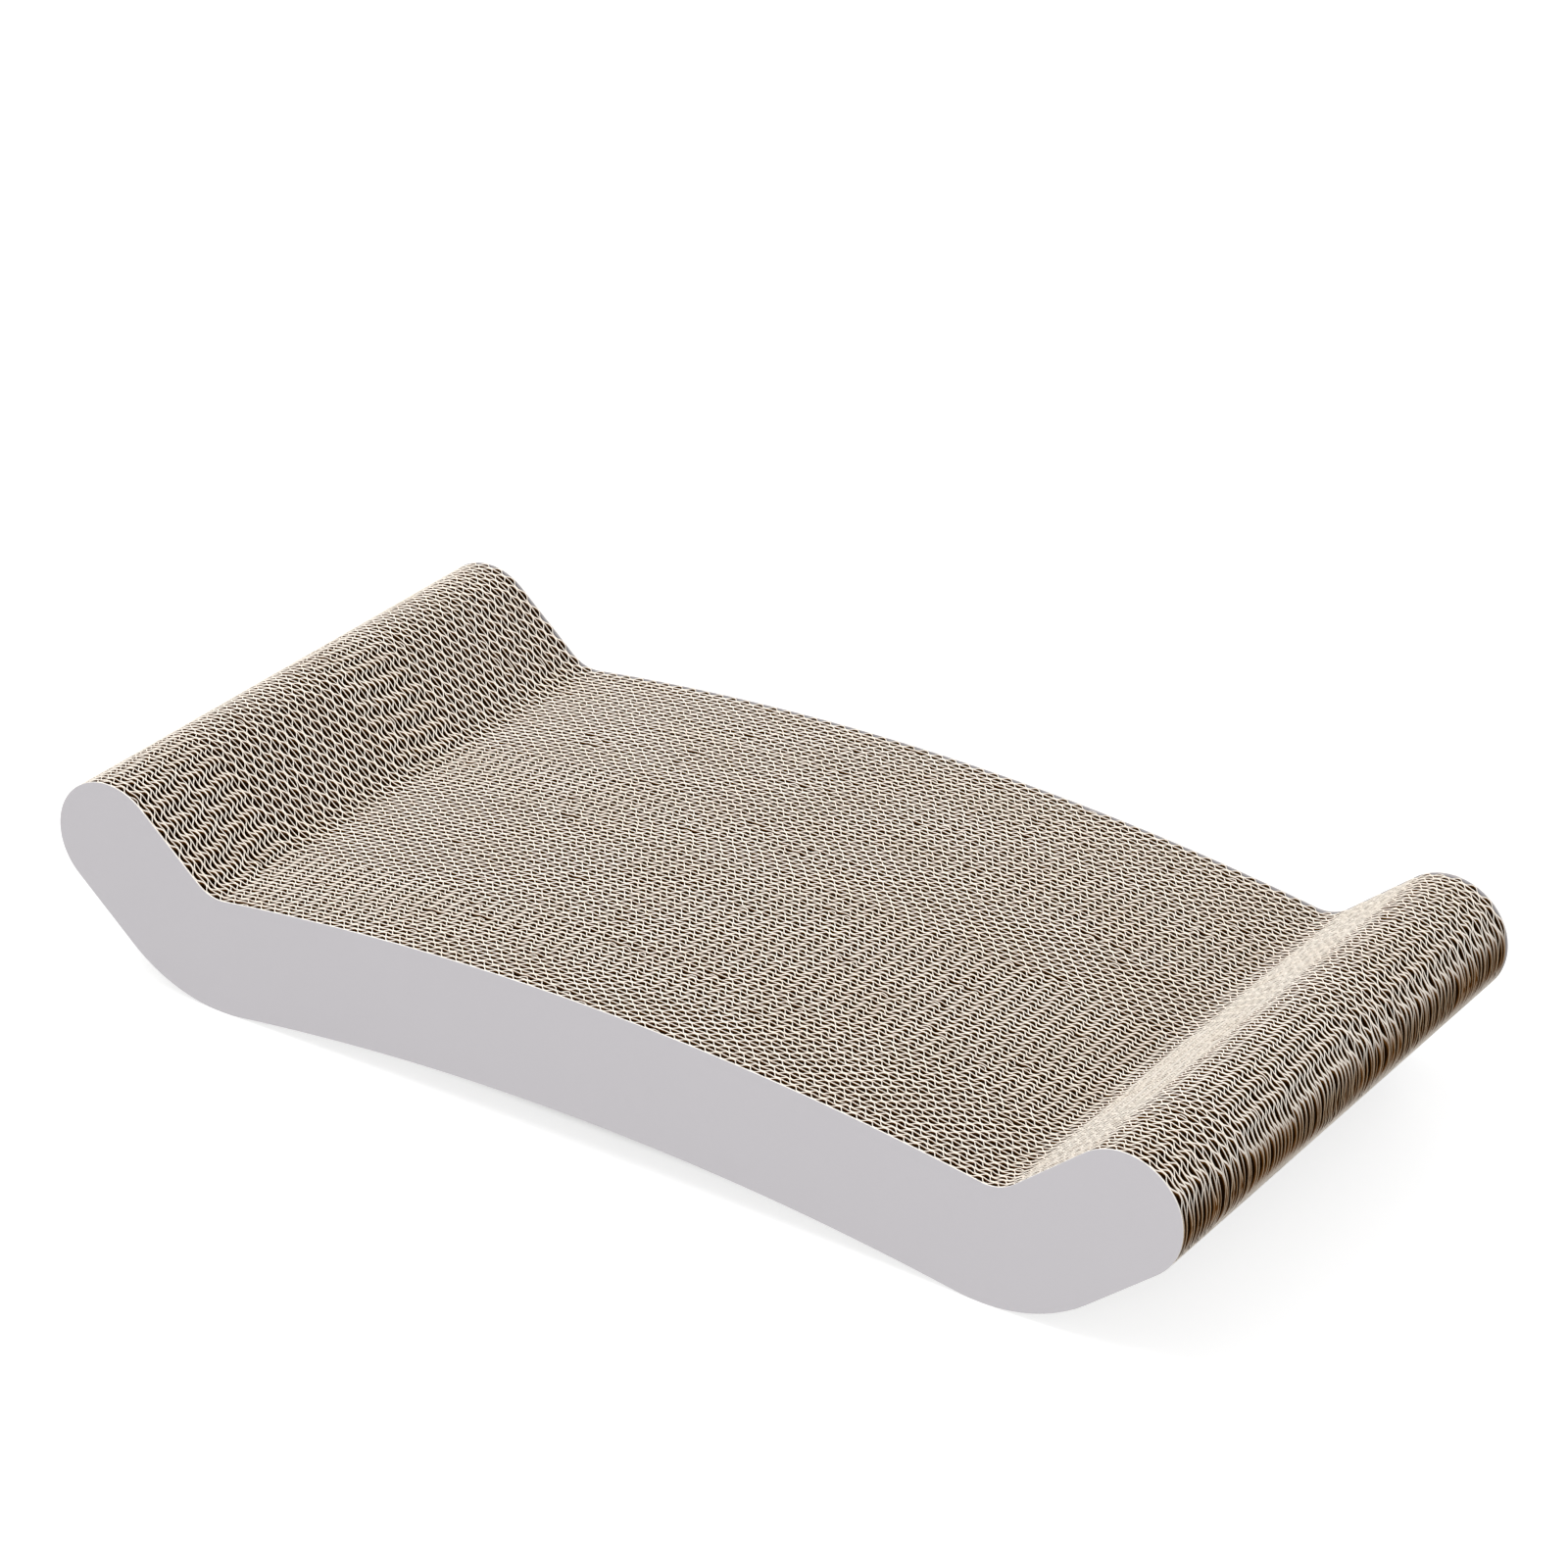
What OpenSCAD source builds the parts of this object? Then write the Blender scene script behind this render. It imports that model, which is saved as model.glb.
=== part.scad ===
// Cardboard cat scratcher in the shape of a low couch.
// Fluted boards stand on edge, glued side by side across the width, and a smooth
// panel closes each side. All of them are cut to one outline: a domed seat
// between two rolls, on two rounded feet with an arch between them.
// X runs along the couch, Y across the boards and Z up. The origin lies on the
// floor under the middle of the seat.

/* [Stack] */
// Number of boards across the width
board_count = 46; // [8:1:56]
// Thickness of one board, from the back of its liner to its flute tips
board_t = 5.2; // [3:0.1:8]
// Thickness of each smooth side panel
panel_t = 0.4; // [0.3:0.1:3]

/* [Fluting] */
// Thickness of the flat liner of a board
liner_t = 0.5; // [0.3:0.1:1]
// Thickness of the fluted paper
flute_paper_t = 0.4; // [0.3:0.1:1]
// Distance from one flute tip to the next
flute_pitch = 12.8; // [9:0.2:24]
// Width of the flat crest of a flute, which is glued to the next board
glue_land = 0.8; // [0.4:0.1:2.4]

/* [Rolls] */
// Distance between the middles of the two rolls
roll_spacing = 436; // [400:1:500]
// Radius of each roll
roll_r = 24; // [20:0.5:28]
// Height of the tops of the rolls above the floor
roll_top_h = 79.2; // [72:0.2:90]

/* [Seat] */
// Height of the middle of the seat
seat_h = 60; // [52:0.5:64]
// Drop from the middle of the seat to the valley beside each roll
seat_fall = 12.5; // [6:0.5:18]
// Distance along the couch from the middle of a roll to the lowest line of its valley
valley_inset = 52; // [46:0.5:68]
// Radius of each valley
valley_r = 16; // [8:0.5:20]

/* [Underside] */
// Distance along the couch from the middle of a roll to the line that its foot stands on
foot_inset = 52; // [46:0.5:68]
// Radius of each rounded foot
foot_r = 65; // [50:1:75]
// Height of the arch between the feet
arch_rise = 12.4; // [6:0.2:20]

/* [Hidden] */
// How far round and straight stretches overlap where they meet, so that they cross
seam = 0.05;
// How far the hidden end of a stretch runs on, inside the body or in a space cut from it
tuck = 3;

// A wide dome or arch that meets a small circle smoothly, with its top above the
// middle, has its radius fixed by where the small circle lies and by the drop.
function wide_r(reach, drop, small_r) =
    (reach * reach + drop * drop - seam * seam) / (2 * (drop - seam)) - small_r;
// Direction of the vector v in degrees
function heading(v) = atan2(v[1], v[0]);
// Point on the circle around c with radius r, towards the point p
function towards(c, p, r) = c + r * (p - c) / norm(p - c);
// Direction square to a line at the angle a, on its left
function left_of(a) = [-sin(a), cos(a)];
// Point of the left half that matches the point p of the right half
function mirrored(p) = [-p[0], p[1]];

// Centres of the round stretches of the right half, in X and Z
roll_c = [roll_spacing / 2, roll_top_h - roll_r];
foot_c = [roll_c[0] - foot_inset, foot_r];
valley_c = [roll_c[0] - valley_inset, seat_h - seat_fall + valley_r];
arch_r = wide_r(foot_c[0], arch_rise, foot_r);
arch_c = [0, arch_rise - arch_r];
seat_r = wide_r(valley_c[0], seat_fall, valley_r);
seat_c = [0, seat_h - seat_r];

// Angles of the two straight slopes that run up to the roll
under_slope = heading(roll_c - foot_c) + asin((foot_r - roll_r) / norm(roll_c - foot_c));
seat_slope = heading(roll_c - valley_c) + asin((roll_r + valley_r) / norm(roll_c - valley_c));

// Points where round stretches of the right half meet the next stretch
arch_end = towards(arch_c, foot_c, arch_r);
foot_end = foot_c - foot_r * left_of(under_slope);
seat_end = towards(seat_c, valley_c, seat_r);

body_length = roll_spacing + 2 * roll_r;
stack_w = board_count * board_t;
body_width = stack_w + 2 * panel_t;
near_face_y = -body_width / 2;

// Heights of the fluted paper's near face above the back of its liner: at the roots,
// which lie in the liner, and at the tips, whose far face meets the next board
root_y = liner_t / 2;
tip_y = board_t - flute_paper_t;
// Shares of a pitch by which the flutes of odd and even boards are shifted along, so that
// the flutes of neighbouring boards don't line up
odd_shift_share = 0.05;
even_shift_share = -0.18;
function board_shift(i) = (i % 2 == 0 ? even_shift_share : odd_shift_share) * flute_pitch;
// Fold number k of the fluted paper's near face: a root if k is even and a tip if it is odd
function fold(k, shift) = [shift + k * flute_pitch / 2, k % 2 == 0 ? root_y : tip_y];

// How far a cutting shape runs past what it cuts
overrun = 1;
// Sides of a drawn circle
round_fn = 128;
liner_colour = [0.85, 0.74, 0.58];
panel_colour = [0.78, 0.77, 0.78];

function board_name(i) = str(i < 10 ? "board_0" : "board_", i);
BOARDS = [for (i = [1 : board_count]) i];

// Region on the right of the line from a to b, and a little past it on the left
module right_of_line(a, b) {
    length = norm(b - a);
    along = b - a;
    left = left_of(heading(along));
    start = a - along + 2 * tuck * left;
    end = b + along + 2 * tuck * left;
    out = -(length + 2 * tuck) * left;
    polygon([start, end, end + out, start + out]);
}

// Straight-sided core of the outline. Its corners are tucked into the round stretches
// that cover them, or into the round spaces that are cut away.
module outline_core() {
    right = [
        towards(arch_c, foot_c, arch_r - tuck),
        towards(arch_c, foot_c, arch_r + tuck),
        foot_c - (foot_r - seam) * left_of(under_slope),
        roll_c - (roll_r - seam) * left_of(under_slope),
        roll_c + (roll_r - seam) * left_of(seat_slope),
        valley_c - (valley_r - seam) * left_of(seat_slope),
        towards(seat_c, valley_c, seat_r + tuck),
        towards(seat_c, valley_c, seat_r - tuck)
    ];
    left = [for (i = [len(right) - 1 : -1 : 0]) mirrored(right[i])];
    polygon(concat(right, left));
}

// Round part of the right foot, below the straight core
module foot_bulge() {
    intersection() {
        translate(foot_c) circle(r = foot_r, $fn = round_fn);
        right_of_line(arch_end, foot_end);
    }
}

// Round of the right roll
module roll_disc() {
    translate(roll_c) circle(r = roll_r, $fn = round_fn);
}

// Round space above the right valley
module valley_disc() {
    translate(valley_c) circle(r = valley_r, $fn = round_fn);
}

// Crown of the seat, above the straight core
module seat_dome() {
    intersection() {
        translate(seat_c) circle(r = seat_r, $fn = round_fn);
        right_of_line(seat_end, mirrored(seat_end));
    }
}

// Round space under the arch
module arch_disc() {
    translate(arch_c) circle(r = arch_r, $fn = round_fn);
}

// Children in their place at the right end and mirrored at the left end
module both_ends() {
    children();
    mirror([1, 0]) children();
}

// Side outline of the whole couch, in X and Z
module outline() {
    difference() {
        union() {
            outline_core();
            seat_dome();
            both_ends() {
                foot_bulge();
                roll_disc();
            }
        }
        both_ends() valley_disc();
        arch_disc();
    }
}

// Slice of the couch from y to y + t
module slice(y, t) {
    translate([0, y + t, 0]) rotate([90, 0, 0]) linear_extrude(t) outline();
}

// Smooth side panel with its near face at y
module side_panel(y) {
    color(panel_colour) slice(y, panel_t);
}

// Zigzag section of the fluted paper, with a flat crest on the far side of each tip
module fluting(shift) {
    reach = ceil(body_length / flute_pitch) + 1;
    near_side = [for (k = [-reach : reach]) fold(k, shift)];
    far_side = [for (k = [reach : -1 : -reach]) for (way = k % 2 == 0 ? [0] : [1, -1])
        fold(k, shift) + [way * glue_land / 2, flute_paper_t]];
    polygon(concat(near_side, far_side));
}

// Section of one board seen from above: flat liner with the fluted paper on it
module board_section(shift) {
    translate([-body_length / 2 - overrun, 0]) square([body_length + 2 * overrun, liner_t]);
    fluting(shift);
}

// Board number i, counted from the near side, with its flutes upright
module board(i) {
    y = near_face_y + panel_t + (i - 1) * board_t;
    color(liner_colour) intersection() {
        translate([0, y, -overrun]) linear_extrude(roll_top_h + 2 * overrun)
            board_section(board_shift(i));
        slice(y - overrun, board_t + 2 * overrun);
    }
}

side_panel(near_face_y);  // near_side_panel
for (i = BOARDS) board(i);
side_panel(-near_face_y - panel_t);  // far_side_panel
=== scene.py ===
"""Looks of a cardboard cat scratcher shaped like a low couch.

Boards of fluted paper stand on edge, glued side by side between two smooth side
panels. Every board node gives way to a piece that holds its two layers of real-size
flutes, and every panel node to a sheet with a pale cut edge.
"""

import logging
import math
from collections import defaultdict
from collections.abc import Callable, Iterator, Mapping, Sequence
from dataclasses import dataclass, field
from enum import Enum
from typing import Any, Union

import bmesh
import bpy
import numpy as np
from mathutils import Matrix, Vector


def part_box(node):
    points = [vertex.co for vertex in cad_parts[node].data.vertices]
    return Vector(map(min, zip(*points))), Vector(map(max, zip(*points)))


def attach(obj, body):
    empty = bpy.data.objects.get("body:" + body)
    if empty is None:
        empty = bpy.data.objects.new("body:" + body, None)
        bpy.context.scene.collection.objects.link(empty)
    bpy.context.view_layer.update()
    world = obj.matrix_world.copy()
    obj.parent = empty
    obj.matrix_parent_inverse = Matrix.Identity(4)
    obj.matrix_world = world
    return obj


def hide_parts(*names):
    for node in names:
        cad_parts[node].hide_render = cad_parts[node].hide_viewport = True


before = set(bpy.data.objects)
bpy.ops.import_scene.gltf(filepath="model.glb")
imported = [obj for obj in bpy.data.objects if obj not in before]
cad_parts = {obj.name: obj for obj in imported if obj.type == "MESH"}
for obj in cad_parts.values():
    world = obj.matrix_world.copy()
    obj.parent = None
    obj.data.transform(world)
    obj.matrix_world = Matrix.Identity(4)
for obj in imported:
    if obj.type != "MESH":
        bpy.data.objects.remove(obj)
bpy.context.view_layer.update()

log = logging.getLogger("scratcher")

MM = 0.001
BODY = "root"
SEED = 4
# Corner points of a sheet at each station
CORNERS = 5

Colour = tuple[float, float, float]
Stretch = tuple[float, float, float]
Term = Union["Signal", float, Colour]


class Side(Enum):
    """The two sides of the stack, as the panels' names start."""

    NEAR = "near"
    FAR = "far"


class Surface(Enum):
    """Material slots of a paper piece."""

    FACE = 0
    CUT_EDGE = 1


class Rim(Enum):
    """Heights at which a sheet of paper has corner points."""

    FOOT = "foot"
    SHOULDER = "shoulder"
    RIDGE = "ridge"


class Mixing(Enum):
    """Ways to mix two colours."""

    MIX = "MIX"
    MULTIPLY = "MULTIPLY"


@dataclass(frozen=True)
class Drift:
    """Smooth seeded wandering of a value along X: a few sines of mixed lengths.

    The wavelengths are in metres.
    """

    wavelengths: tuple[float, ...]
    strengths: tuple[float, ...]
    stretches: tuple[float, float] = (0.8, 1.25)

    def along(self, x: np.ndarray, rng: np.random.Generator) -> np.ndarray:
        """Draws one wandering line.

        Args:
            x: Places along the couch, in metres.
            rng: Source of the random starts.

        Returns:
            The value at each place, within the sum of the strengths.
        """
        total = np.zeros_like(x)
        for wavelength, strength in zip(self.wavelengths, self.strengths):
            start = rng.uniform(0.0, math.tau)
            stretch = rng.uniform(*self.stretches)
            total += strength * np.sin(math.tau * x / (wavelength * stretch) + start)
        return total


@dataclass(frozen=True)
class Outline:
    """Side outline of the couch in X and Z: a domed seat between two rolls."""

    roll_spacing: float = 436 * MM
    roll_r: float = 24 * MM
    roll_top_h: float = 79.2 * MM
    seat_h: float = 60 * MM
    seat_fall: float = 12.5 * MM
    valley_inset: float = 52 * MM
    valley_r: float = 16 * MM
    foot_inset: float = 52 * MM
    foot_r: float = 65 * MM
    arch_rise: float = 12.4 * MM
    # Turn round a roll past which stations lie closer together
    end_turn: float = math.radians(50)
    # Share of a closer step that the last station keeps from the very end
    tip_share: float = 0.25
    # Half of the stretch over which a slope is measured
    slope_step: float = 0.01 * MM

    @property
    def half_length(self) -> float:
        """Half of the couch's length."""
        return self.roll_spacing / 2 + self.roll_r

    @property
    def roll_c(self) -> Vector:
        """Centre of the right roll."""
        return Vector((self.roll_spacing / 2, self.roll_top_h - self.roll_r))

    @property
    def foot_c(self) -> Vector:
        """Centre of the right foot's round."""
        return Vector((self.roll_c.x - self.foot_inset, self.foot_r))

    @property
    def valley_c(self) -> Vector:
        """Centre of the round space above the right valley."""
        low = self.seat_h - self.seat_fall
        return Vector((self.roll_c.x - self.valley_inset, low + self.valley_r))

    @staticmethod
    def wide_r(reach: float, drop: float, small_r: float) -> float:
        """Radius of a wide crown that meets a small round smoothly.

        Args:
            reach: How far the small round's centre lies to the side.
            drop: How far the small round's lowest line lies below the crown.
            small_r: Radius of the small round.

        Returns:
            The radius of the crown.
        """
        return (reach * reach + drop * drop) / (2 * drop) - small_r

    @staticmethod
    def tangent(low_c: Vector, high_c: Vector, sine: float) -> float:
        """Slope of the straight stretch between two rounds.

        Args:
            low_c: Centre of the lower round.
            high_c: Centre of the upper round.
            sine: Radii across the line, as a share of the distance between the centres.

        Returns:
            The slope in radians.
        """
        way = high_c - low_c
        return math.atan2(way.y, way.x) + math.asin(sine)

    @property
    def under_slope(self) -> float:
        """Slope of the straight underside between foot and roll."""
        gap = (self.roll_c - self.foot_c).length
        return self.tangent(self.foot_c, self.roll_c, (self.foot_r - self.roll_r) / gap)

    @property
    def seat_slope(self) -> float:
        """Slope of the straight stretch between valley and roll."""
        gap = (self.roll_c - self.valley_c).length
        return self.tangent(self.valley_c, self.roll_c, (self.roll_r + self.valley_r) / gap)

    @staticmethod
    def round_z(x: np.ndarray, centre: Vector, radius: float, sign: float) -> np.ndarray:
        """Height of a round stretch: its upper half for sign 1, its lower half for -1."""
        height_squared = radius * radius - (x - centre.x) ** 2
        return centre.y + sign * np.sqrt(np.maximum(height_squared, 0.0))

    def top(self, x: np.ndarray) -> np.ndarray:
        """Works out the upper line.

        Args:
            x: Places along the couch.

        Returns:
            The height of the seat or roll at each place.
        """
        reach = np.abs(x)
        slope = self.seat_slope
        seat_r = self.wide_r(self.valley_c.x, self.seat_fall, self.valley_r)
        seat_c = Vector((0.0, self.seat_h - seat_r))
        seat_end = seat_c.x + seat_r * (self.valley_c - seat_c).normalized().x
        valley_end = self.valley_c.x + self.valley_r * math.sin(slope)
        roll_start = self.roll_c.x - self.roll_r * math.sin(slope)
        valley_z = self.valley_c.y - self.valley_r * math.cos(slope)
        return np.select(
            [reach < seat_end, reach < valley_end, reach < roll_start],
            [
                self.round_z(reach, seat_c, seat_r, 1.0),
                self.round_z(reach, self.valley_c, self.valley_r, -1.0),
                valley_z + (reach - valley_end) * math.tan(slope),
            ],
            self.round_z(reach, self.roll_c, self.roll_r, 1.0),
        )

    def bottom(self, x: np.ndarray) -> np.ndarray:
        """Works out the lower line.

        Args:
            x: Places along the couch.

        Returns:
            The height of the underside at each place.
        """
        reach = np.abs(x)
        slope = self.under_slope
        arch_r = self.wide_r(self.foot_c.x, self.arch_rise, self.foot_r)
        arch_c = Vector((0.0, self.arch_rise - arch_r))
        arch_end = arch_c.x + arch_r * (self.foot_c - arch_c).normalized().x
        foot_end = self.foot_c.x + self.foot_r * math.sin(slope)
        roll_start = self.roll_c.x + self.roll_r * math.sin(slope)
        foot_z = self.foot_c.y - self.foot_r * math.cos(slope)
        return np.select(
            [reach < arch_end, reach < foot_end, reach < roll_start],
            [
                self.round_z(reach, arch_c, arch_r, 1.0),
                self.round_z(reach, self.foot_c, self.foot_r, -1.0),
                foot_z + (reach - foot_end) * math.tan(slope),
            ],
            self.round_z(reach, self.roll_c, self.roll_r, -1.0),
        )

    def level(self, line: Callable[[np.ndarray], np.ndarray], x: np.ndarray) -> np.ndarray:
        """Works out how level a line of the outline is.

        Args:
            line: The top or the bottom.
            x: Places along the couch.

        Returns:
            The cosine of its slope at each place.
        """
        before, after = x - self.slope_step, x + self.slope_step
        slope = (line(after) - line(before)) / (after - before)
        return 1 / np.hypot(1, slope)

    def stations(self, step: float, end_step: float) -> np.ndarray:
        """Places along X for a sheet: even steps, and closer ones round each roll's end.

        Args:
            step: Distance between places on the long stretch.
            end_step: Angle between places round the ends, in radians.

        Returns:
            Rising places from one end to the other.
        """
        reach = self.roll_c.x + self.roll_r * math.sin(self.end_turn)
        middle = np.linspace(-reach, reach, 2 * math.ceil(reach / step) + 1)
        tip = math.pi / 2 - self.tip_share * end_step
        turns = math.ceil((tip - self.end_turn) / end_step)
        angles = np.linspace(self.end_turn, tip, turns + 1)[1:]
        end = self.roll_c.x + self.roll_r * np.sin(angles)
        return np.concatenate([-end[::-1], middle, end])


@dataclass(frozen=True)
class Signal:
    """A shader socket that adds maths nodes when it is used in a sum."""

    graph: "Graph"
    socket: bpy.types.NodeSocket

    def _maths(self, operation: str, *terms: Term) -> "Signal":
        """Adds one Math node on these terms."""
        settings = {"operation": operation}
        return self.graph.node("ShaderNodeMath", settings, dict(enumerate(terms)))

    def __add__(self, other: Term) -> "Signal":
        """Sum of two values."""
        return self._maths("ADD", self, other)

    def __radd__(self, other: Term) -> "Signal":
        """Sum with a number on the left."""
        return self._maths("ADD", other, self)

    def __rsub__(self, other: Term) -> "Signal":
        """Difference from a number on the left."""
        return self._maths("SUBTRACT", other, self)

    def __mul__(self, other: Term) -> "Signal":
        """Product of two values."""
        return self._maths("MULTIPLY", self, other)

    def __rmul__(self, other: Term) -> "Signal":
        """Product with a number on the left."""
        return self._maths("MULTIPLY", other, self)

    def lesser(self, other: Term) -> "Signal":
        """The smaller of two values."""
        return self._maths("MINIMUM", self, other)

    def step(self, start: float, end: float) -> "Signal":
        """Smooth step of this value.

        Args:
            start: Value at which the step is still 0.
            end: Value at which it has come to 1.

        Returns:
            The step.
        """
        settings = {"interpolation_type": "SMOOTHSTEP"}
        inputs = {"Value": self, "From Min": start, "From Max": end}
        return self.graph.node("ShaderNodeMapRange", settings, inputs)


class Graph:
    """Node tree of one material, or of the surroundings."""

    noise_detail: float = 3.0
    # Numbers of the Mix node's sockets for colours
    mix_share: int = 0
    mix_first: int = 6
    mix_second: int = 7
    mixed: int = 2

    def __init__(self, owner: bpy.types.Material | bpy.types.World, shader: str) -> None:
        """Opens the owner's tree.

        Args:
            owner: The material or the surroundings.
            shader: Name of the shader that stands in its tree.
        """
        owner.use_nodes = True
        self.owner = owner
        self.tree = owner.node_tree
        self.shader = self.tree.nodes[shader]

    def node(
        self,
        kind: str,
        settings: Mapping[str, Any] | None = None,
        inputs: Mapping[str | int, Term] | None = None,
        output: str | int = 0,
    ) -> Signal:
        """Adds any node.

        Args:
            kind: The node's type.
            settings: What to set on the node first.
            inputs: The values or links of its sockets, by name or number.
            output: The socket to read.

        Returns:
            The node's output as a signal.
        """
        made = self.tree.nodes.new(kind)
        for key, value in (settings or {}).items():
            setattr(made, key, value)
        for key, value in (inputs or {}).items():
            self.feed(made.inputs[key], value)
        return Signal(self, made.outputs[output])

    def feed(self, socket: bpy.types.NodeSocket, value: Term) -> None:
        """Links a signal to a socket, or sets the socket to a number or a colour.

        Args:
            socket: The socket.
            value: What it gets.
        """
        if isinstance(value, Signal):
            self.tree.links.new(value.socket, socket)
        elif isinstance(value, tuple) and socket.type == "RGBA":
            socket.default_value = (*value, 1.0)
        else:
            socket.default_value = value

    def blend(
        self, share: Term, first: Term, second: Term, mixing: Mixing = Mixing.MIX
    ) -> Signal:
        """Mixes two colours.

        Args:
            share: How much of the second colour, from 0 to 1.
            first: Colour at share 0.
            second: Colour at share 1.
            mixing: How the second colour is laid over the first.

        Returns:
            The mixed colour.
        """
        settings = {"data_type": "RGBA", "blend_type": mixing.value}
        inputs = {self.mix_share: share, self.mix_first: first, self.mix_second: second}
        return self.node("ShaderNodeMix", settings, inputs, self.mixed)

    def place(self) -> Signal:
        """The point on the object, in metres."""
        return self.node("ShaderNodeTexCoord", output="Object")

    def noise(self, grain: float, stretch: Stretch = (1.0, 1.0, 1.0)) -> Signal:
        """Noise of a real size.

        Args:
            grain: Size of the grain in metres.
            stretch: How many times longer the grain is along each axis.

        Returns:
            A value around 0.5.
        """
        scale = tuple(1.0 / (grain * share) for share in stretch)
        scaled = {0: self.place(), 1: scale}
        where = self.node("ShaderNodeVectorMath", {"operation": "MULTIPLY"}, scaled)
        inputs = {"Vector": where, "Scale": 1.0, "Detail": self.noise_detail}
        return self.node("ShaderNodeTexNoise", {}, inputs)

    def attribute(self, name: str) -> Signal:
        """A value that the mesh carries at its points."""
        return self.node("ShaderNodeAttribute", {"attribute_name": name}, output="Fac")

    def bump(self, height: Signal, distance: float, strength: float) -> Signal:
        """A normal from a height.

        Args:
            height: Height from 0 to 1.
            distance: Real height of the relief, in metres.
            strength: Share of the relief that shows.

        Returns:
            The bumped normal.
        """
        inputs = {"Height": height, "Distance": distance, "Strength": strength}
        return self.node("ShaderNodeBump", {}, inputs)

    def dress(self, **inputs: Term) -> bpy.types.Material | bpy.types.World:
        """Feeds the shader.

        Args:
            **inputs: Values or links of its sockets, with an underscore for each space
                in a name.

        Returns:
            The finished material or surroundings.
        """
        for name, value in inputs.items():
            self.feed(self.shader.inputs[name.replace("_", " ")], value)
        return self.owner


def new_finish(name: str) -> Graph:
    """Starts a material of that name, with a Principled shader."""
    return Graph(bpy.data.materials.new(name), "Principled BSDF")


@dataclass(frozen=True)
class FlutePaper:
    """Brown paper of the liners and flutes, frayed and pale next to the cut.

    Inward from the cut it is pale down to the frayed depth and brown from the brown depth on,
    and deeper in it is painted near black as shade. On cuts no more level than the lower of the
    two levels the pale band is left out as painted shade, and on ones as level as the higher it
    shows fully.
    """

    name: str = "flute_paper"
    pale: Colour = (0.98, 0.90, 0.80)
    brown: Colour = (0.142, 0.056, 0.010)
    # Painted shade: near-black walls deep in the cells
    painted_shade: Colour = (0.013, 0.005, 0.001)
    dusky: Colour = (0.62, 0.50, 0.38)
    frayed_depth: float = 0.24 * MM
    brown_depth: float = 0.34 * MM
    painted_shade_depth: float = 1.0 * MM
    # Levels between which steep cuts go from full painted shade to none
    steep_shade_level: float = 0.10
    unshaded_level: float = 0.60
    fibre: float = 0.35 * MM
    fibre_stretch: Stretch = (1.0, 1.0, 5.0)
    blotch: float = 14 * MM
    relief: float = 0.05 * MM
    relief_share: float = 0.5
    roughness: float = 0.9
    gloss_level: float = 0.0

    def material(self) -> bpy.types.Material:
        """Builds the paper's material.

        Returns:
            The new material.
        """
        graph = new_finish(self.name)
        inward = graph.attribute("in_from_top").lesser(graph.attribute("in_from_bottom"))
        fibres = graph.noise(self.fibre, self.fibre_stretch)
        mottling = (1.0 - fibres) * graph.noise(self.blotch)
        # Painted shade: the walls darken to near black deeper in from the cut
        walls = graph.blend(inward.step(self.brown_depth, self.painted_shade_depth), self.brown, self.painted_shade)
        walls = graph.blend(mottling, walls, self.dusky, Mixing.MULTIPLY)
        frayed = 1.0 - inward.step(self.frayed_depth, self.brown_depth)
        # Painted shade: steep cuts lose the pale band and stay dark
        unshaded = graph.attribute("level").step(self.steep_shade_level, self.unshaded_level)
        colour = graph.blend(frayed * unshaded, walls, self.pale)
        return graph.dress(
            Base_Color=colour,
            Roughness=self.roughness,
            Specular_IOR_Level=self.gloss_level,
            Normal=graph.bump(fibres, self.relief, self.relief_share),
        )


@dataclass(frozen=True)
class CutEdge:
    """Pale cut edge of the paper, with loose fibres and a few darker scuffs.

    Where the cut runs steeply, as round the rolls' outer ends, the edge gets a brown painted
    shade.
    """

    name: str = "cut_edge"
    pale: Colour = (0.99, 0.935, 0.855)
    warm: Colour = (0.90, 0.79, 0.66)
    scuffed: Colour = (0.50, 0.38, 0.27)
    # Painted shade on steep cuts
    steep_painted_shade: Colour = (0.45, 0.33, 0.22)
    warm_share: float = 0.30
    scuff_share: float = 0.45
    # Levels between which steep cuts go from full painted shade to none
    steep_shade_level: float = 0.10
    unshaded_level: float = 0.50
    fibre: float = 0.30 * MM
    blotch: float = 22 * MM
    blotch_rise: tuple[float, float] = (0.35, 0.70)
    scuff: float = 2.4 * MM
    scuff_rise: tuple[float, float] = (0.60, 0.72)
    relief: float = 0.05 * MM
    relief_share: float = 0.4
    roughness: float = 0.95
    gloss_level: float = 0.0

    def material(self) -> bpy.types.Material:
        """Builds the edge's material.

        Returns:
            The new material.
        """
        graph = new_finish(self.name)
        fibres = graph.noise(self.fibre)
        blotches = graph.noise(self.blotch).step(*self.blotch_rise)
        scuffs = graph.noise(self.scuff).step(*self.scuff_rise)
        unshaded = graph.blend(self.warm_share * (blotches + fibres), self.pale, self.warm)
        unshaded = graph.blend(self.scuff_share * scuffs, unshaded, self.scuffed)
        # Painted shade: steep cuts get the brown painted shade, level ones the pale edge
        level = graph.attribute("level").step(self.steep_shade_level, self.unshaded_level)
        colour = graph.blend(level, self.steep_painted_shade, unshaded)
        return graph.dress(
            Base_Color=colour,
            Roughness=self.roughness,
            Specular_IOR_Level=self.gloss_level,
            Normal=graph.bump(fibres, self.relief, self.relief_share),
        )


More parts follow.
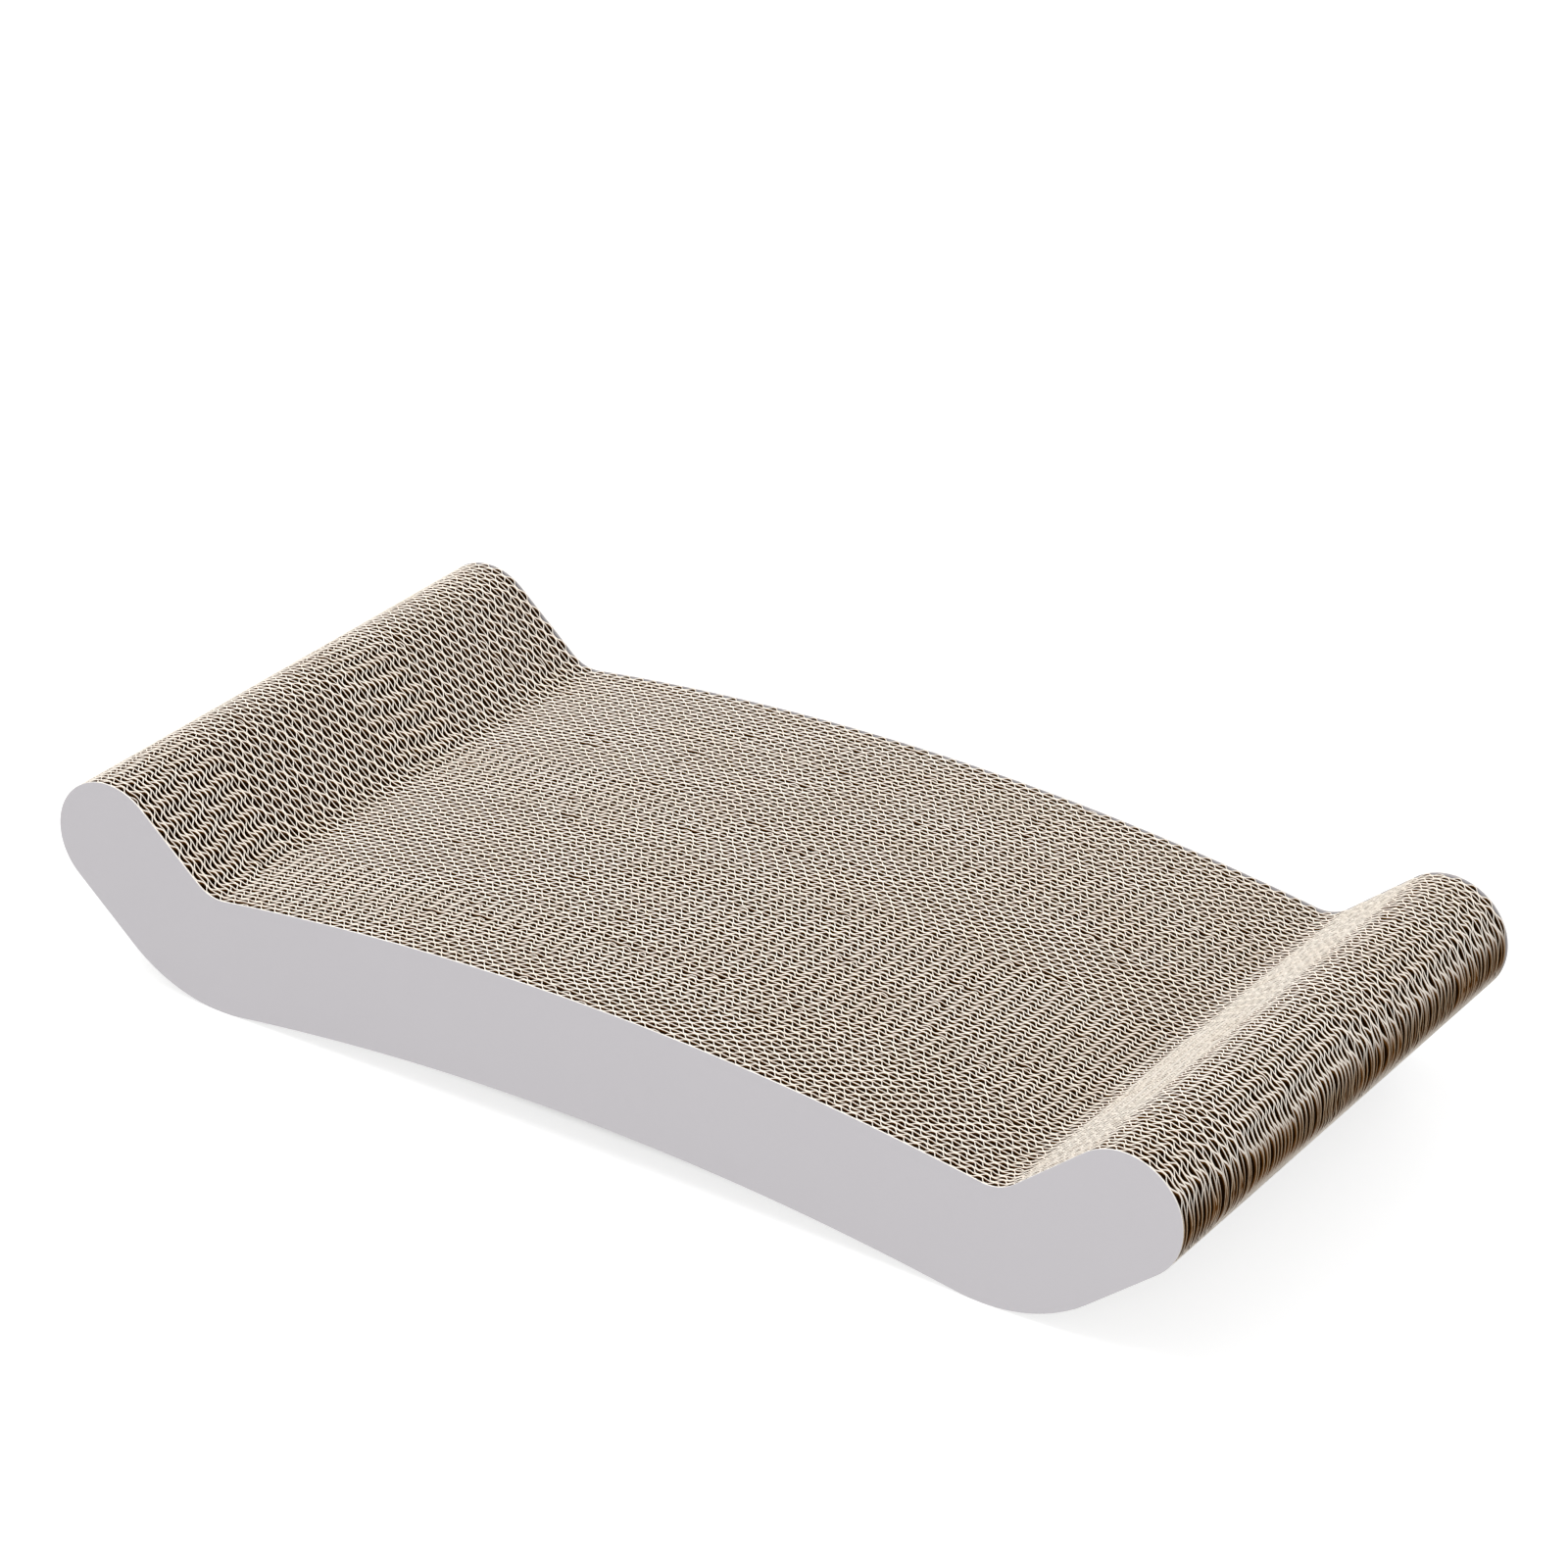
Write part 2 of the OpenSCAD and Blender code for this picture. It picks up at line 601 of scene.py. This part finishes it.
@dataclass(frozen=True)
class PanelCard:
    """Smooth pale grey face of the side panels, with the faint texture of card."""

    name: str = "panel_card"
    grey: Colour = (0.592, 0.571, 0.593)
    mottled: Colour = (0.568, 0.547, 0.569)
    fibre: float = 0.8 * MM
    fibre_stretch: Stretch = (3.0, 1.0, 1.0)
    cloud: float = 45 * MM
    mottle_share: float = 0.5
    relief: float = 0.03 * MM
    relief_share: float = 0.25
    roughness: float = 0.6
    dullness: float = 0.1

    def material(self) -> bpy.types.Material:
        """Builds the card's material.

        Returns:
            The new material.
        """
        graph = new_finish(self.name)
        fibres = graph.noise(self.fibre, self.fibre_stretch)
        clouds = graph.noise(self.cloud)
        colour = graph.blend(self.mottle_share * (fibres + clouds), self.grey, self.mottled)
        normal = graph.bump(fibres, self.relief, self.relief_share)
        rough = self.roughness + self.dullness * fibres
        return graph.dress(Base_Color=colour, Roughness=rough, Normal=normal)


@dataclass(frozen=True)
class PanelEdge:
    """White core of the side panels' card, seen at its cut edge."""

    name: str = "panel_edge"
    white: Colour = (0.90, 0.88, 0.85)
    soiled: Colour = (0.74, 0.68, 0.60)
    grain: float = 1.5 * MM
    soil_rise: tuple[float, float] = (0.4, 0.8)
    roughness: float = 0.85

    def material(self) -> bpy.types.Material:
        """Builds the edge's material.

        Returns:
            The new material.
        """
        graph = new_finish(self.name)
        soil = graph.noise(self.grain).step(*self.soil_rise)
        colour = graph.blend(soil, self.white, self.soiled)
        return graph.dress(Base_Color=colour, Roughness=self.roughness)


@dataclass
class Finishes:
    """The materials of the whole object, each made once."""

    flute_paper: bpy.types.Material = field(default_factory=lambda: FlutePaper().material())
    cut_edge: bpy.types.Material = field(default_factory=lambda: CutEdge().material())
    panel_card: bpy.types.Material = field(default_factory=lambda: PanelCard().material())
    panel_edge: bpy.types.Material = field(default_factory=lambda: PanelEdge().material())


def dressed_piece(
    name: str, mesh: bpy.types.Mesh, materials: Sequence[bpy.types.Material], node: str
) -> bpy.types.Object:
    """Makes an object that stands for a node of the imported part.

    Args:
        name: Name of the piece.
        mesh: Its mesh, in place.
        materials: Its materials, in the order of Surface.
        node: The node that it stands for.

    Returns:
        The new object.
    """
    for material in materials:
        mesh.materials.append(material)
    piece = bpy.data.objects.new(name, mesh)
    bpy.context.scene.collection.objects.link(piece)
    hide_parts(node)
    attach(piece, BODY)
    return piece


@dataclass(frozen=True)
class Sheet:
    """One upright sheet of paper: a line in X and Y with a thickness, cut to the outline.

    Its upper edge is worn to a ridge, which lies a little lower where fibres came off.
    """

    x: np.ndarray
    y: np.ndarray
    thickness: float
    sunk: np.ndarray
    ridge: float = 0.13 * MM
    end_gap: float = 0.02 * MM

    def lines(self) -> tuple[np.ndarray, np.ndarray, np.ndarray]:
        """Works out where the sheet runs.

        Returns:
            Points of the near face, the middle and the far face, in X and Y.
        """
        slope = np.gradient(self.y, self.x)
        across = np.stack([-slope, np.ones_like(slope)], 1)
        half = across / np.linalg.norm(across, axis=1)[:, None] * self.thickness / 2
        line = np.stack([self.x, self.y], 1)
        return line - half, line, line + half

    def points(self, outline: Outline) -> tuple[np.ndarray, dict[str, np.ndarray]]:
        """Corner points of the sheet, five for each station.

        They are the near face's foot and shoulder, the ridge, and the far face's
        shoulder and foot.

        Args:
            outline: What the sheet is cut to.

        Returns:
            The points, and what each carries for the finishes: how far in it lies from
            the top and the bottom, square to the cut, and how level the cut is there.
        """
        limit = outline.half_length - self.end_gap
        near, middle, far = self.lines()
        corners = []
        carried = defaultdict(list)
        for line, rims in (
            (near, (Rim.FOOT, Rim.SHOULDER)),
            (middle, (Rim.RIDGE,)),
            (far, (Rim.SHOULDER, Rim.FOOT)),
        ):
            x = np.clip(line[:, 0], -limit, limit)
            low, top = outline.bottom(x), outline.top(x) - self.sunk
            shoulder = top - np.minimum(self.ridge, (top - low) / 2)
            heights = {Rim.FOOT: low, Rim.SHOULDER: shoulder, Rim.RIDGE: top}
            low_level = outline.level(outline.bottom, x)
            top_level = outline.level(outline.top, x)
            for rim in rims:
                z = heights[rim]
                corners.append(np.stack([x, line[:, 1], z], 1))
                carried["in_from_top"].append((top - z) * top_level)
                carried["in_from_bottom"].append((z - low) * low_level)
                carried["level"].append(low_level if rim is Rim.FOOT else top_level)
        return np.stack(corners, 1), {name: np.stack(rows, 1) for name, rows in carried.items()}

    @staticmethod
    def faces(count: int) -> Iterator[tuple[tuple[int, ...], Surface]]:
        """Faces of every stretch between stations, and of the two ends.

        Args:
            count: Number of stations.

        Yields:
            Corner numbers from the sheet's first point, with the surface.
        """
        near_foot, near_shoulder, ridge, far_shoulder, far_foot = range(CORNERS)
        strips = (
            (near_foot, near_shoulder, Surface.FACE),
            (near_shoulder, ridge, Surface.CUT_EDGE),
            (ridge, far_shoulder, Surface.CUT_EDGE),
            (far_shoulder, far_foot, Surface.FACE),
            (far_foot, near_foot, Surface.CUT_EDGE),
        )
        for here in range(0, CORNERS * (count - 1), CORNERS):
            after = here + CORNERS
            for first, second, surface in strips:
                yield (here + first, after + first, after + second, here + second), surface
        start, last = tuple(range(CORNERS)), CORNERS * (count - 1)
        yield start, Surface.CUT_EDGE
        yield tuple(last + corner for corner in reversed(start)), Surface.CUT_EDGE


@dataclass(frozen=True)
class FlutedBoard:
    """One board of the stack: layers of a flat liner and a fluted sheet."""

    node: str
    sheets: tuple[Sheet, ...]
    outline: Outline
    sharp_turn: float = math.radians(50)

    def mesh(self) -> bpy.types.Mesh:
        """Builds the board's mesh from its sheets.

        Returns:
            The new mesh.
        """
        points, faces, surfaces = [], [], []
        carried = defaultdict(list)
        for number, sheet in enumerate(self.sheets):
            corners, sheet_carried = sheet.points(self.outline)
            start = number * corners.shape[0] * CORNERS
            points.append(corners.reshape(-1, 3))
            for name, values in sheet_carried.items():
                carried[name].append(values.reshape(-1))
            for corner_numbers, surface in sheet.faces(len(sheet.x)):
                faces.append([start + corner for corner in corner_numbers])
                surfaces.append(surface.value)
        mesh = bpy.data.meshes.new(self.node)
        mesh.from_pydata(np.concatenate(points).tolist(), [], faces)
        mesh.polygons.foreach_set("material_index", surfaces)
        for name, values in carried.items():
            attribute = mesh.attributes.new(name, "FLOAT", "POINT")
            attribute.data.foreach_set("value", np.concatenate(values).astype(np.float32))
        mesh.shade_smooth()
        mesh.set_sharp_from_angle(angle=self.sharp_turn)
        return mesh

    def build(self, finishes: Finishes) -> bpy.types.Object:
        """Makes the board's piece in place of its node.

        Args:
            finishes: The materials.

        Returns:
            The new piece.
        """
        materials = (finishes.flute_paper, finishes.cut_edge)
        name = f"fluted_{self.node}"
        return dressed_piece(name, self.mesh(), materials, self.node)


@dataclass(frozen=True)
class Batch:
    """Boards that were glued up together, with flutes that follow on from each other.

    Turns are shares of a flute. The two layers of a board are fluted on different
    rollers, so the turns between them change along the couch.
    """

    boards: int
    start: float
    apart: float
    apart_per_m: float
    lean: float


@dataclass
class BoardStack:
    """All fluted boards, with neighbouring liners and flutes pressed against each other."""

    outline: Outline
    batches: tuple[Batch, ...] = (
        Batch(boards=5, start=0.10, apart=0.42, apart_per_m=1.6, lean=0.05),
        Batch(boards=4, start=0.55, apart=0.20, apart_per_m=1.2, lean=0.04),
        Batch(boards=15, start=0.45, apart=0.27, apart_per_m=-1.3, lean=0.03),
        Batch(boards=6, start=0.25, apart=0.34, apart_per_m=1.1, lean=-0.08),
        Batch(boards=9, start=0.60, apart=0.38, apart_per_m=-0.8, lean=-0.05),
        Batch(boards=7, start=0.05, apart=0.42, apart_per_m=-0.3, lean=0.05),
    )
    pitch: float = 6.35 * MM
    liner_t: float = 0.29 * MM
    flute_t: float = 0.32 * MM
    crest_flatness: float = 2.5
    washboard: float = 0.30 * MM
    steps_per_flute: int = 12
    end_step: float = math.radians(4)
    crush_share: float = 0.02
    crush_reach: float = 3.5 * MM
    crush_depth: float = 0.9 * MM
    crush_strengths: tuple[float, float] = (0.4, 1.0)
    crush_loss: float = 0.55
    ragged: float = 0.10 * MM
    lean_spread: float = 0.05
    layer_spread: float = 0.03
    board_drift: Drift = Drift(wavelengths=(0.35, 0.11), strengths=(0.05, 0.02))
    layer_drift: Drift = Drift(wavelengths=(0.22, 0.03), strengths=(0.03, 0.02))
    bow: Drift = Drift(wavelengths=(0.30, 0.09), strengths=(0.10 * MM, 0.06 * MM))
    end_bow: Drift = Drift(wavelengths=(0.030, 0.012), strengths=(0.45 * MM, 0.30 * MM))
    end_reach: float = 12 * MM

    def nodes(self) -> list[str]:
        """Names of the board nodes, from the near side."""
        return sorted(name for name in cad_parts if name.startswith("board_"))

    def phases(self, x: np.ndarray, rng: np.random.Generator) -> np.ndarray:
        """Phase of each layer's wave in turns.

        Args:
            x: Places along the couch.
            rng: Source of the random leans and drifts.

        Returns:
            One row for each layer, from the near side.
        """
        rows = []
        for batch in self.batches:
            phase = batch.start
            for _ in range(batch.boards):
                board = phase + self.board_drift.along(x, rng)
                for apart in (0.0, batch.apart + batch.apart_per_m * x):
                    wander = rng.normal(0.0, self.layer_spread) + self.layer_drift.along(x, rng)
                    rows.append(board + apart + wander)
                phase += rng.normal(batch.lean, self.lean_spread)
        return np.array(rows) + x / self.pitch

    def wave(self, phase: np.ndarray) -> np.ndarray:
        """Height of a flute from -1 at its root to 1 at its tip.

        The flanks are straight, and the crests flat and rounded at their ends.

        Args:
            phase: Phase in turns.

        Returns:
            The height at each phase.
        """
        # Straight up from -1 to 1 in half a turn, and straight down in the other half
        zigzag = 1.0 - 4.0 * np.abs(phase % 1.0 - 0.5)
        return np.tanh(self.crest_flatness * zigzag) / math.tanh(self.crest_flatness)

    def crushes(self, x: np.ndarray, rng: np.random.Generator) -> np.ndarray:
        """Share by which one layer is crushed at each place.

        Args:
            x: Places along the couch.
            rng: Source of the random places and strengths.

        Returns:
            The share, from 0 to 1.
        """
        count = rng.poisson(self.crush_share * (x[-1] - x[0]) / self.pitch)
        total = np.zeros_like(x)
        for centre in rng.uniform(x[0], x[-1], count):
            dent = np.exp(-(((x - centre) / self.crush_reach) ** 2))
            total = np.maximum(total, rng.uniform(*self.crush_strengths) * dent)
        return total

    def liner_lines(
        self, x: np.ndarray, waves: np.ndarray, rng: np.random.Generator
    ) -> np.ndarray:
        """Middle lines of the liners, pressed wavy by the flutes on both sides.

        Args:
            x: Places along the couch.
            waves: Height of every layer's flutes at each place, from -1 to 1.
            rng: Source of the random bows.

        Returns:
            The Y of every liner at each place, and of the far panel in the last row.
        """
        nodes = self.nodes()
        low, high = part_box(nodes[0])[0].y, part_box(nodes[-1])[1].y
        lines = np.linspace(low, high, len(waves) + 1)[:, None] + self.liner_t / 2
        pressed = self.washboard * (waves[:-1] + waves[1:]) / 2
        loose = np.exp((np.abs(x) - self.outline.half_length) / self.end_reach)
        bows = [self.bow.along(x, rng) + loose * self.end_bow.along(x, rng) for _ in pressed]
        return lines + np.pad(pressed + bows, ((1, 1), (0, 0)))

    def boards(self) -> Iterator[FlutedBoard]:
        """Works out every board's sheets, from the near side.

        Yields:
            The boards in order.
        """
        rng = np.random.default_rng(SEED)
        x = self.outline.stations(self.pitch / self.steps_per_flute, self.end_step)
        waves = self.wave(self.phases(x, rng))
        liners = self.liner_lines(x, waves, rng)
        grip = (self.liner_t + self.flute_t) / 2
        sheets = []
        for wave, liner, next_liner in zip(waves, liners, liners[1:]):
            crush = self.crushes(x, rng)
            root, tip = liner + grip, next_liner - grip
            lift = (1 + wave * (1 - self.crush_loss * crush)) / 2
            worn = self.ragged * rng.uniform(0.0, 1.0, (2, len(x)))
            sheets.append(Sheet(x, liner, self.liner_t, worn[0]))
            flute = root + lift * (tip - root)
            sheets.append(Sheet(x, flute, self.flute_t, worn[1] + self.crush_depth * crush))
        per_board = len(sheets) // len(self.nodes())
        for index, node in enumerate(self.nodes()):
            own = sheets[index * per_board : (index + 1) * per_board]
            yield FlutedBoard(node, tuple(own), self.outline)

    def build(self, finishes: Finishes) -> None:
        """Makes every board's piece.

        Args:
            finishes: The materials.
        """
        for board in self.boards():
            piece = board.build(finishes)
            log.info("%s: %d faces", piece.name, len(piece.data.polygons))


@dataclass
class SidePanel:
    """Smooth sheet of card on one side of the stack."""

    outline: Outline
    side: Side
    step: float = 1.5 * MM
    end_step: float = math.radians(3)
    bevel: float = 0.08 * MM

    @property
    def node(self) -> str:
        """Name of the node that the panel stands for."""
        return f"{self.side.value}_side_panel"

    def rim(self) -> np.ndarray:
        """Works out the closed outline of the panel.

        Returns:
            Its corners in X and Z.
        """
        x = self.outline.stations(self.step, self.end_step)
        upper = np.stack([x, self.outline.top(x)], 1)
        lower = np.stack([x, self.outline.bottom(x)], 1)[::-1]
        right_end = [self.outline.half_length, self.outline.roll_c.y]
        left_end = [-self.outline.half_length, self.outline.roll_c.y]
        return np.concatenate([upper, [right_end], lower, [left_end]])

    def mesh(self) -> bpy.types.Mesh:
        """Builds the panel: two faces, a narrow bevel and the cut edge between them.

        Returns:
            The new mesh.
        """
        low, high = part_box(self.node)
        rim = self.rim()
        inward = np.roll(rim, -1, 0) - np.roll(rim, 1, 0)
        inward = np.stack([inward[:, 1], -inward[:, 0]], 1)
        inward /= np.linalg.norm(inward, axis=1)[:, None]
        drawn_in = rim + inward * self.bevel
        rings = (
            (low.y, drawn_in),
            (low.y + self.bevel, rim),
            (high.y - self.bevel, rim),
            (high.y, drawn_in),
        )
        form = bmesh.new()
        loops = [[form.verts.new((x, y, z)) for x, z in ring] for y, ring in rings]
        for first, second in zip(loops, loops[1:]):
            for here in range(len(rim)):
                after = (here + 1) % len(rim)
                edge = form.faces.new((first[here], first[after], second[after], second[here]))
                edge.material_index = Surface.CUT_EDGE.value
        sides = [form.faces.new(loop) for loop in (loops[0], loops[-1])]
        for side in sides:
            side.material_index = Surface.FACE.value
        bmesh.ops.recalc_face_normals(form, faces=form.faces)
        bmesh.ops.triangulate(form, faces=sides)
        mesh = bpy.data.meshes.new(self.node)
        form.to_mesh(mesh)
        form.free()
        return mesh

    def build(self, finishes: Finishes) -> None:
        """Makes the panel's piece in place of its node.

        Args:
            finishes: The materials.
        """
        materials = (finishes.panel_card, finishes.panel_edge)
        name = f"{self.side.value}_panel_sheet"
        piece = dressed_piece(name, self.mesh(), materials, self.node)
        log.info("%s: %d faces", piece.name, len(piece.data.polygons))


@dataclass(frozen=True)
class PhotoCamera:
    """Camera at the photograph's viewing angle."""

    target: Vector = Vector((-0.0477, 0.0788, 0.05))
    distance: float = 2.0604
    azimuth: float = math.radians(32.44)
    elevation: float = math.radians(27.65)
    roll: float = math.radians(2.115)
    focal_px: float = 5449.0
    picture_px: float = 1600.0
    sensor_mm: float = 36.0

    def build(self) -> None:
        """Makes the camera and sets it as the scene's own."""
        lens = bpy.data.cameras.new("photo_camera")
        lens.sensor_width = self.sensor_mm
        lens.lens = self.sensor_mm * self.focal_px / self.picture_px
        camera = bpy.data.objects.new("photo_camera", lens)
        turn = (
            Matrix.Rotation(self.azimuth, 4, "Z")
            @ Matrix.Rotation(math.pi / 2 - self.elevation, 4, "X")
            @ Matrix.Rotation(self.roll, 4, "Z")
        )
        back = turn @ Vector((0.0, 0.0, self.distance))
        camera.matrix_world = Matrix.Translation(self.target + back) @ turn
        bpy.context.scene.collection.objects.link(camera)
        bpy.context.scene.camera = camera


@dataclass(frozen=True)
class SoftBox:
    """One soft lamp, aimed at the object."""

    name: str
    place: Vector
    size: float
    watts: float

    def build(self) -> None:
        """Makes the lamp."""
        light = bpy.data.lights.new(self.name, "AREA")
        light.shape = "DISK"
        light.size = self.size
        light.energy = self.watts
        lamp = bpy.data.objects.new(self.name, light)
        lamp.location = self.place
        lamp.rotation_euler = self.place.to_track_quat("Z", "Y").to_euler()
        bpy.context.scene.collection.objects.link(lamp)


@dataclass(frozen=True)
class Studio:
    """Plain white floor with a painted shadow under the object, even surroundings and soft lamps.
    """

    floor_half: float = 15.0
    # Painted shadow under the object: half length and half width of the floor that gets no glow,
    # and the width over which the glow fades back in
    painted_shadow_half: tuple[float, float] = (165 * MM, 108 * MM)
    painted_shadow_fade: float = 15 * MM
    floor_white: Colour = (0.40, 0.40, 0.40)
    floor_glow: Colour = (0.74, 0.74, 0.74)
    no_glow: Colour = (0.0, 0.0, 0.0)
    floor_roughness: float = 1.0
    floor_gloss_level: float = 0.0
    sky: Colour = (1.0, 1.0, 1.0)
    sky_strength: float = 0.67
    lamps: tuple[SoftBox, ...] = (
        SoftBox(name="key_lamp", place=Vector((-1.2, -0.6, 2.2)), size=1.2, watts=29.0),
        SoftBox(name="fill_lamp", place=Vector((1.3, -2.4, 1.2)), size=1.6, watts=31.0),
        SoftBox(name="back_lamp", place=Vector((-0.4, 2.7, 1.1)), size=1.6, watts=26.0),
    )

    @staticmethod
    def seen(graph: Graph) -> Signal:
        """Whether the camera sees this, straight or in something shiny or clear.

        Args:
            graph: Graph of the floor or the surroundings.

        Returns:
            1 where it does, and 0 where it only gives light.
        """
        camera, glossy, clear = (
            graph.node("ShaderNodeLightPath", output=f"Is {kind} Ray")
            for kind in ("Camera", "Glossy", "Transmission")
        )
        return 1.0 - (1.0 - camera) * (1.0 - glossy) * (1.0 - clear)

    def outside_painted_shadow(self, graph: Graph) -> Signal:
        """Where the floor keeps its glow, outside the painted shadow under the object.

        Args:
            graph: Graph of the floor.

        Returns:
            0 well under the object, where the glow is left out as painted shadow, seen through
            the upright flutes and under the arch, and 1 everywhere else.
        """
        place = graph.node("ShaderNodeVectorMath", {"operation": "ABSOLUTE"}, {0: graph.place()})
        past_length, past_width = (
            graph.node("ShaderNodeSeparateXYZ", inputs={0: place}, output=axis).step(
                half - self.painted_shadow_fade, half
            )
            for axis, half in zip("XY", self.painted_shadow_half)
        )
        return 1.0 - (1.0 - past_length) * (1.0 - past_width)

    def floor_material(self) -> bpy.types.Material:
        """Builds the floor's material, which the camera sees as white.

        Returns:
            The new material, on which the object's shadow shows.
        """
        graph = new_finish("studio_floor")
        # Painted shadow: no glow under the middle of the object, so the floor there stays dark
        glowing = self.seen(graph) * self.outside_painted_shadow(graph)
        glow = graph.blend(glowing, self.no_glow, self.floor_glow)
        return graph.dress(
            Base_Color=self.floor_white,
            Roughness=self.floor_roughness,
            Specular_IOR_Level=self.floor_gloss_level,
            Emission_Color=glow,
            Emission_Strength=1.0,
        )

    def build_floor(self) -> None:
        """Makes the floor under the feet."""
        reach = self.floor_half
        corners = [(-reach, -reach, 0), (reach, -reach, 0), (reach, reach, 0), (-reach, reach, 0)]
        mesh = bpy.data.meshes.new("studio_floor")
        mesh.from_pydata(corners, [], [(0, 1, 2, 3)])
        mesh.materials.append(self.floor_material())
        floor = bpy.data.objects.new("studio_floor", mesh)
        bpy.context.scene.collection.objects.link(floor)

    def build_sky(self) -> None:
        """Makes the even surroundings, which the camera sees as white."""
        graph = Graph(bpy.data.worlds.new("studio_sky"), "Background")
        strength = self.sky_strength + (1.0 - self.sky_strength) * self.seen(graph)
        bpy.context.scene.world = graph.dress(Color=self.sky, Strength=strength)

    def build(self) -> None:
        """Makes the whole studio."""
        self.build_floor()
        self.build_sky()
        for lamp in self.lamps:
            lamp.build()
        bpy.context.scene.view_settings.view_transform = "Standard"


def main() -> None:
    """Builds the camera, the object and the studio in order."""
    logging.basicConfig(level=logging.INFO, format="%(message)s")
    PhotoCamera().build()
    outline = Outline()
    finishes = Finishes()
    for side in Side:
        SidePanel(outline, side).build(finishes)
    BoardStack(outline).build(finishes)
    Studio().build()


if __name__ == "__main__":
    main()
